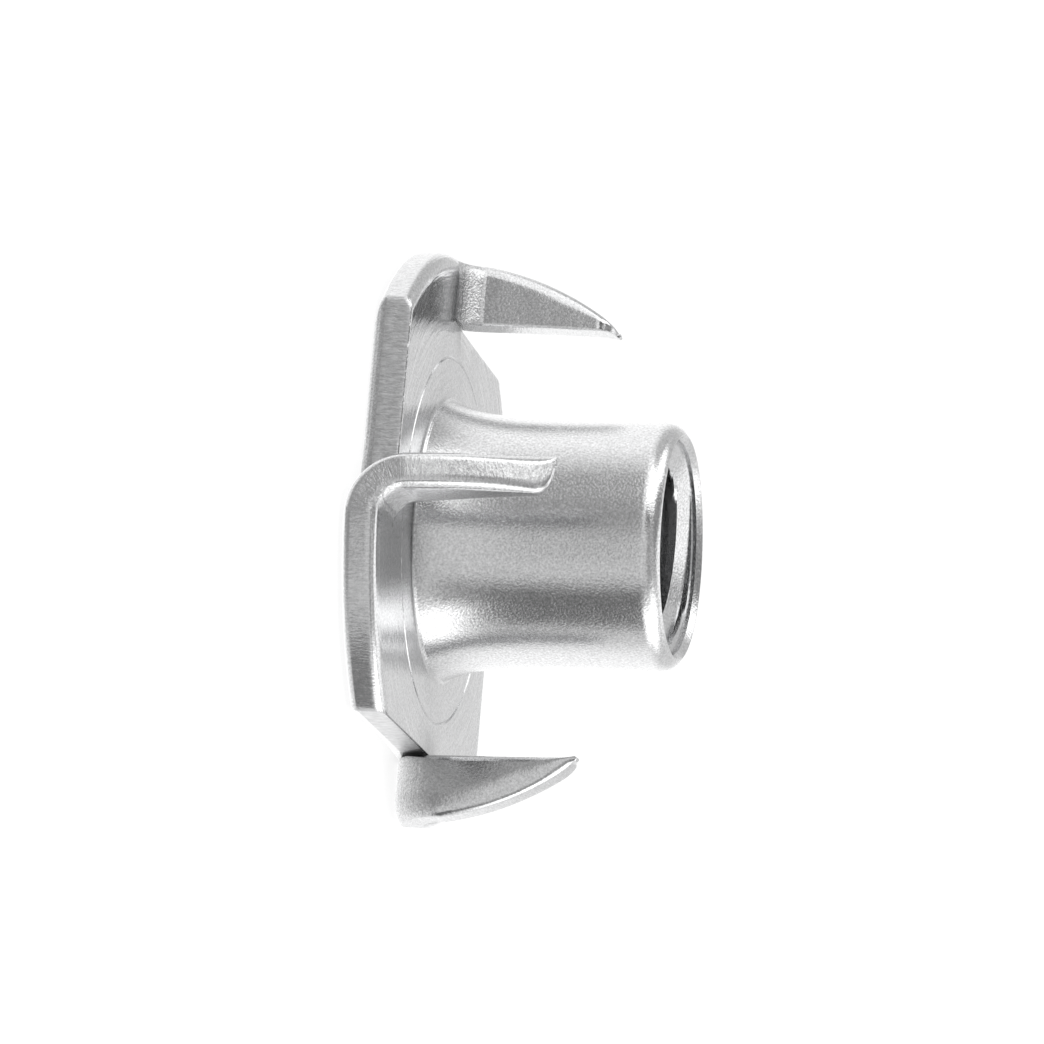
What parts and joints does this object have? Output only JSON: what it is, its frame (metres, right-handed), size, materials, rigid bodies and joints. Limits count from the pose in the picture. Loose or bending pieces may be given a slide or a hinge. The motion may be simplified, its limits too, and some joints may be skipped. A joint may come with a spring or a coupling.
{
  "type": "tee nut",
  "caption": "Pronged tee nut: a flanged steel disc drawn into a threaded barrel, with sheared prongs bent up round it to bite into wood",
  "frame": {"origin": "centre of the flange's flat outer face, on the thread's axis", "axes": "+Z along the barrel from the flange to the mouth; +Y to the outer edge of one prong's foot"},
  "size_m": [0.0224, 0.0224, 0.011],
  "materials": {
    "zinc_plated_steel": "bright zinc plate over drawn sheet steel"
  },
  "bodies": {
    "root": {"tee_nut": "zinc_plated_steel"}
  },
  "joints": []
}
